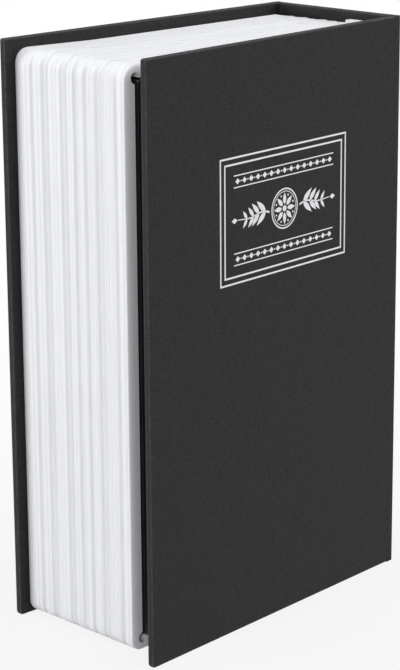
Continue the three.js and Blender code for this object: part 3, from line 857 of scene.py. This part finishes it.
surround_mesh = loft(surround_rings(surround_section()))
bmesh.ops.remove_doubles(surround_mesh, verts=surround_mesh.verts, dist=0.001 * mm)
caps = [face for face in surround_mesh.faces if len(face.verts) > 4]
bmesh.ops.triangulate(surround_mesh, faces=caps)
pages = make_object("page_edges", surround_mesh, page_finish)

tab_foot = 2.6 * mm
tab_depth = 33.2 * mm
tab_reach = 0.2 * mm
tab_round = 0.5 * mm
tab_end = surround_end + tab_reach
head_tab = (head_face - lip_width, head_face + tab_head_rise)
tail_tab = (tail_face - tab_tail_rise, tail_face + lip_width)
for inner, outer in (head_tab, tail_tab):
    low = (surround_end - tab_foot, surround_low.y, min(inner, outer))
    high = (tab_end, back_inner - tab_depth, max(inner, outer))
    tab_mesh = block(low, high)
    edges = [edge for edge in tab_mesh.edges if all(v.co.x > surround_end for v in edge.verts)]
    bmesh.ops.bevel(tab_mesh, geom=edges, offset=tab_round, segments=4, profile=0.5, affect="EDGES")
    cut(pages, make_object("tab", tab_mesh, page_finish), "UNION")

towards_front = Matrix.Rotation(math.pi / 2, 4, "X")
small_sides = 32
relief_radius = 1.7 * mm
relief_depth = 5 * mm
for z in (head_face - lip_width, tail_face + lip_width):
    drill = turned([(relief_radius, -relief_depth), (relief_radius, relief_depth)], small_sides)
    corner = Vector((fore_face + lip_width, surround_low.y, z))
    at = Matrix.Translation(corner) @ towards_front
    cut(pages, make_object("relief", drill, page_finish, at))

bore_radius = 1.45 * mm
bore_overrun = 0.06 * mm
for number in range(1, 5):
    low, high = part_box(f"surround_screw_{number}")
    at = Matrix.Translation(((low.x + high.x) / 2, (low.y + high.y) / 2, low.z))
    length = high.z - low.z
    drill = turned([(bore_radius, -bore_overrun), (bore_radius, length + bore_overrun)], small_sides)
    cut(pages, make_object("bore", drill, page_finish, at))
pages.data.set_sharp_from_angle(angle=math.radians(sharp_angle))
finished(pages, "back", "page_plastic", "page_surround")

# Steel box
# A folded tray in powder-coated sheet, riveted to the back board and screwed to the surround. Its
# edges are broken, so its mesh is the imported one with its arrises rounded.
steel_edge = 0.16 * mm
same_place = 0.002 * mm
flat_angle = math.radians(1)
edge_angle = math.radians(50)


def softened(name, node, width, material):
    """A node's own mesh with its flat faces whole and its edges rounded, as a new object."""
    made = bmesh.new()
    made.from_mesh(frame["nodes"][node].data)
    bmesh.ops.remove_doubles(made, verts=made.verts, dist=same_place)
    bmesh.ops.dissolve_limit(made, angle_limit=flat_angle, verts=made.verts, edges=made.edges)
    piece = make_object(name, made, material)
    bevel = piece.modifiers.new("edges", "BEVEL")
    bevel.width = width
    bevel.segments = 2
    bevel.limit_method = "ANGLE"
    bevel.angle_limit = edge_angle
    weighted = piece.modifiers.new("faces", "WEIGHTED_NORMAL")
    weighted.keep_sharp = False
    apply_modifiers(piece)
    return piece


steel_finish, place = new_finish("black_steel", {"Specular IOR Level": 0.45})
rub_width = 3.4
orange_peel = place.noise(1100, detail=2)
dust = place.noise(180, detail=4)
rubbed = off_axis(place) * rub_width * dust
base_black = (orange_peel * 0.4 + dust * 0.5).between(tone(22, 23, 25), tone(40, 41, 43))
rubbed.clamped().between(base_black, tone(92, 93, 96)).into("Base Color")
(0.38 + 0.18 * dust).into("Roughness")
orange_peel.bump(0.05 * mm, strength=0.55).into("Normal")

box_piece = softened("box_tray", "steel_box", steel_edge, steel_finish)
finished(box_piece, "back", "black_steel", "steel_box")

# Box rivets
# Four zinc-plated steel rivets clench the floor of the box to the back board. Each has a flat head at
# the board and a domed one inside the box.
rivet_shank = 2 * mm
rivet_foot = 0.6 * mm
rivet_edge = 0.15 * mm
rivet_dome = 1.2 * mm
rivet_dome_steps = 8


def dome(radius, rise, length, steps):
    """A domed head's profile, from its rim to just beside its top, which is at a length."""
    points = [(radius, length - rise)]
    for step in range(1, steps):
        turn = math.pi / 2 * step / steps
        points.append((radius * math.cos(turn), length - rise * (1 - math.sin(turn))))
    return points


zinc_finish, place = new_finish("zinc_steel", {"Metallic": 1.0})
brush_stretch = 14
spangle = place.noise(900, detail=2)
brushed = place.scaled((1, 1, brush_stretch)).noise(700, detail=3)
(spangle * 0.6 + brushed * 0.4).between(tone(150, 153, 157), tone(205, 207, 210)).into("Base Color")
(0.26 + 0.24 * brushed).into("Roughness")
brushed.bump(0.02 * mm, strength=0.3).into("Normal")

for number in range(1, 5):
    low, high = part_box(f"box_rivet_{number}")
    head_radius = (high.x - low.x) / 2
    length = high.y - low.y
    profile = [(head_radius - rivet_edge, 0), (head_radius, rivet_edge), (head_radius, rivet_foot),
               (rivet_shank, rivet_foot), (rivet_shank, length - rivet_dome)]
    profile += dome(head_radius, rivet_dome, length, rivet_dome_steps)
    at = Matrix.Translation(((low.x + high.x) / 2, high.y, (low.z + high.z) / 2)) @ towards_front
    rivet = make_object(f"dome_rivet_{number}", turned(profile), zinc_finish, at)
    finished(rivet, "back", "zinc_steel", f"box_rivet_{number}")

# Surround screws
# Two slotted screws of zinc-plated steel through each end wall of the box hold the plastic moulding.
# Their heads are inside the box, and their threads go into bores in the moulding.
screw_head_height = 1.2 * mm
screw_face_share = 0.55
screw_shoulder_share = 0.85
screw_shoulder_height = 0.3 * mm
screw_rim_height = 0.7 * mm
screw_shank = 1.4 * mm
screw_tip = 0.1 * mm
thread_pitch = 0.6 * mm
thread_depth = 0.3 * mm
thread_root = 0.1 * mm
slot_width = 0.8 * mm
slot_depth = 0.6 * mm


def along_height(low, high, towards_head):
    """The place of a turned part in its box, with its foot down, or else up and turned over."""
    foot = low.z if towards_head else high.z
    turn = Matrix.Identity(4) if towards_head else Matrix.Rotation(math.pi, 4, "X")
    return Matrix.Translation(((low.x + high.x) / 2, (low.y + high.y) / 2, foot)) @ turn


for number in range(1, 5):
    low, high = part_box(f"surround_screw_{number}")
    head_radius = (high.x - low.x) / 2
    length = high.z - low.z
    profile = [(head_radius * screw_face_share, 0),
               (head_radius * screw_shoulder_share, screw_shoulder_height),
               (head_radius, screw_rim_height), (head_radius, screw_head_height),
               (screw_shank, screw_head_height)]
    threads = int((length - screw_head_height - screw_shank) / thread_pitch)
    for thread in range(threads):
        foot = screw_head_height + thread * thread_pitch
        profile += [(screw_shank - thread_depth, foot + thread_root),
                    (screw_shank, foot + thread_pitch / 2)]
    profile += [(screw_shank - thread_depth, length - screw_shank), (screw_tip, length)]
    at = along_height(low, high, low.z > cover_height / 2)
    screw = make_object(f"slotted_screw_{number}", turned(profile, small_sides), zinc_finish, at)
    slot_reach = head_radius * 2
    saw = block((-slot_width / 2, -slot_reach, -slot_depth), (slot_width / 2, slot_reach, slot_depth))
    cut(screw, make_object("saw", saw, zinc_finish, at))
    finished(screw, "back", "zinc_steel", f"surround_screw_{number}")

# Latch plate
# A bent plate of zinc-plated steel, which the cam turns under. Two small rivets of the same hold it on
# the fore wall of the box.
latch_edge = 0.14 * mm
latch_shank = 1.2 * mm
latch_dome = 0.8 * mm
latch_dome_steps = 7
latch = softened("latch_bracket", "latch_plate", latch_edge, zinc_finish)
finished(latch, "back", "zinc_steel", "latch_plate")
for number in (1, 2):
    low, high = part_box(f"latch_rivet_{number}")
    head_radius = (high.z - low.z) / 2
    length = high.x - low.x
    profile = [(latch_shank, 0), (latch_shank, length - latch_dome)]
    profile += dome(head_radius, latch_dome, length, latch_dome_steps)
    turn = Matrix.Rotation(math.pi / 2, 4, "Y")
    at = Matrix.Translation((low.x, (low.y + high.y) / 2, (low.z + high.z) / 2)) @ turn
    rivet = make_object(f"latch_dome_rivet_{number}", turned(profile, small_sides), zinc_finish, at)
    finished(rivet, "back", "zinc_steel", f"latch_rivet_{number}")

# Lid
# A powder-coated steel plate with skirts on three sides. Its ears turn on two headed pins of
# zinc-plated steel, which are fixed in the end walls of the box near the spine.
pin_shank = 1.1 * mm
pin_head_height = 0.9 * mm
pin_edge = 0.3 * mm
pin_tip = 0.25 * mm
lid_piece = softened("box_lid", "steel_lid", steel_edge, steel_finish)
finished(lid_piece, "lid", "black_steel", "steel_lid")
for end in ("head", "tail"):
    low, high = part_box(f"hinge_pin_{end}")
    head_radius = (high.x - low.x) / 2
    length = high.z - low.z
    profile = [(head_radius - pin_edge, 0), (head_radius, pin_edge), (head_radius, pin_head_height),
               (pin_shank, pin_head_height), (pin_shank, length - pin_tip),
               (pin_shank - pin_tip, length)]
    at = along_height(low, high, end == "head")
    pin = make_object(f"pivot_pin_{end}", turned(profile, small_sides), zinc_finish, at)
    finished(pin, "back", "zinc_steel", f"hinge_pin_{end}")

# Lock
# A chromed cam lock through the lid: its flat-sided threaded barrel is held by a washer and a nut, and
# the keyed brass plug carries the cam and its screw.
chrome_finish, place = new_finish("lock_chrome", {"Metallic": 1.0})
haze = place.noise(300, detail=4)
haze.between(tone(196, 198, 200), tone(224, 225, 227)).into("Base Color")
(0.1 + 0.18 * haze).into("Roughness")
haze.bump(0.01 * mm, strength=0.3).into("Normal")
brass_finish, place = new_finish("lock_brass", {"Metallic": 1.0})
tarnish = place.noise(700, detail=4)
tarnish.between(tone(158, 128, 72), tone(206, 176, 108)).into("Base Color")
(0.22 + 0.25 * tarnish).into("Roughness")
tarnish.bump(0.015 * mm, strength=0.4).into("Normal")

lock_low, lock_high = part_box("lock_housing")
lock_x = (lock_low.x + lock_high.x) / 2
lock_z = (lock_low.z + lock_high.z) / 2
lock_length = lock_high.y - lock_low.y
lock_head = (lock_high.x - lock_low.x) / 2
lock_head_height = 5.8 * mm
head_foot = lock_length - lock_head_height
head_edge = 0.3 * mm
barrel_radius = 5.2 * mm
barrel_edge = 0.3 * mm
barrel_flat = 0.86
barrel_threads = 8
barrel_pitch = head_foot / barrel_threads
barrel_thread_depth = 0.22 * mm
crest_share = 0.35
root_share = 0.9
rim = 1.2 * mm
rim_land = 0.4 * mm
rim_steps = 6
face_ring = (6.3 * mm, 6.1 * mm, 5.6 * mm, 5.4 * mm)
face_ring_depth = 0.25 * mm
bore_wide = 3.9 * mm
bore_narrow = 3.3 * mm
bore_edge = 0.2 * mm
bore_narrow_length = 3.0 * mm
bore_step = lock_length - bore_narrow_length
bore_skin = 0.1 * mm
profile = [(bore_wide, 0), (barrel_radius - barrel_edge, 0)]
for thread in range(barrel_threads):
    foot = barrel_pitch * thread
    profile.append((barrel_radius, foot + crest_share * barrel_pitch))
    profile.append((barrel_radius - barrel_thread_depth, foot + root_share * barrel_pitch))
profile += [(barrel_radius, head_foot), (lock_head - head_edge, head_foot),
            (lock_head, head_foot + head_edge), (lock_head, lock_length - rim - rim_land)]
for step in range(rim_steps + 1):
    turn = math.pi / 2 * step / rim_steps
    profile.append((lock_head - rim * (1 - math.cos(turn)), lock_length - rim * (1 - math.sin(turn))))
for radius, sunk in zip(face_ring, (0, face_ring_depth, face_ring_depth, 0)):
    profile.append((radius, lock_length - sunk))
profile += [(bore_narrow + bore_edge, lock_length), (bore_narrow, lock_length - bore_edge),
            (bore_narrow, bore_step), (bore_wide, bore_step)]
barrel = turned(profile, sides=64, closed=True)
flat_reach = barrel_flat * barrel_radius
for corner in barrel.verts:
    if corner.co.z < head_foot and corner.co.to_2d().length > bore_wide + bore_skin:
        corner.co.y = max(-flat_reach, min(flat_reach, corner.co.y))
lock_place = Matrix.Translation((lock_x, lock_high.y, lock_z)) @ towards_front
housing = make_object("lock_body", barrel, chrome_finish, lock_place, sharp=32)
finished(housing, "lid", "lock_chrome", "lock_housing")

washer_edge = 0.08 * mm
nut_edge = 0.25 * mm
plug_edge = 0.1 * mm
cam_edge = 0.16 * mm
cam_screw_edge = 0.12 * mm
fittings = (
    ("lock_ring_washer", "lock_washer", washer_edge, zinc_finish, "lid", "zinc_steel"),
    ("lock_hex_nut", "lock_nut", nut_edge, zinc_finish, "lid", "zinc_steel"),
    ("key_plug", "lock_plug", plug_edge, brass_finish, "plug", "lock_brass"),
    ("cam_arm", "lock_cam", cam_edge, zinc_finish, "plug", "zinc_steel"),
    ("cam_fixing_screw", "cam_screw", cam_screw_edge, zinc_finish, "plug", "zinc_steel"),
)
for name, node, edge, material, body, slot in fittings:
    finished(softened(name, node, edge, material), body, slot, node)

# Floor, world and lamps
# A pale studio: a wide floor that keeps the book's shadow, a white world, and large soft lamps about
# two metres from the book.
white = (1, 1, 1, 1)
floor_grey = (0.55, 0.55, 0.55, 1)
near_white = 0.84
whiter_with_distance = 0.4
floor_width = 8


def seen_rays(start):
    """The camera's rays, the glossy ones and those that pass through, each as 0 or 1."""
    names = ("Is Camera Ray", "Is Glossy Ray", "Is Transmission Ray")
    return [start.node("ShaderNodeLightPath", output=name) for name in names]


floor_finish = bpy.data.materials.new("floor")
floor_finish.use_nodes = True
floor_tree = floor_finish.node_tree
floor_tree.nodes.clear()
floor = Signal(floor_tree)
camera_rays, glossy_rays, through_rays = seen_rays(floor)
plain = floor.node("ShaderNodeBsdfDiffuse", None, {"Color": floor_grey})
glow = floor.node("ShaderNodeEmission", None, {"Color": white, "Strength": 1.0})
place = floor.node("ShaderNodeTexCoord", output="Object")
reach = place.node("ShaderNodeVectorMath", {"operation": "LENGTH"}, {0: place}, 1)
white_share = (near_white + reach * whiter_with_distance).clamped()
seen = (camera_rays * white_share + glossy_rays + through_rays).clamped()
shown = floor.node("ShaderNodeMixShader", None, {0: seen, 1: plain, 2: glow})
floor_out = floor_tree.nodes.new("ShaderNodeOutputMaterial")
floor_tree.links.new(shown.socket, floor_out.inputs["Surface"])
floor_mesh = bmesh.new()
bmesh.ops.create_grid(floor_mesh, x_segments=1, y_segments=1, size=floor_width / 2)
floor_piece = make_object("floor", floor_mesh, floor_finish)

world = bpy.data.worlds.new("studio")
world.use_nodes = True
scene.world = world
world_tree = world.node_tree
world_tree.nodes.clear()
sky = Signal(world_tree)
camera_rays, glossy_rays, through_rays = seen_rays(sky)
seen = (camera_rays + glossy_rays + through_rays).clamped()
ambient_level = 0.16
strength = ambient_level + seen * (1 - ambient_level)
backdrop = sky.node("ShaderNodeBackground", None, {"Color": white, "Strength": strength})
world_out = world_tree.nodes.new("ShaderNodeOutputWorld")
world_tree.links.new(backdrop.socket, world_out.inputs["Surface"])


def soft_lamp(name, place, width, watts):
    """A square lamp that faces the middle of the book."""
    data = bpy.data.lights.new(name, "AREA")
    data.shape = "SQUARE"
    data.size = width
    data.energy = watts
    lamp = bpy.data.objects.new(name, data)
    scene.collection.objects.link(lamp)
    lamp.location = place
    aim = Vector((0, 0, cover_height / 2)) - Vector(place)
    lamp.rotation_euler = aim.to_track_quat("-Z", "Y").to_euler()


soft_lamp("key", (-1.35, 1.2, 0.25), width=0.7, watts=22)
soft_lamp("left", (-1.1, -0.1, 1.5), width=0.8, watts=1.5)
soft_lamp("fill", (-1.5, -1.1, 0.5), width=0.8, watts=9)
soft_lamp("front", (1.1, -1.5, 0.9), width=0.8, watts=11.5)
soft_lamp("top", (0.1, -0.1, 1.9), width=1.0, watts=19)

# View
# The colours are shown as they are written.
scene.view_settings.view_transform = "Standard"
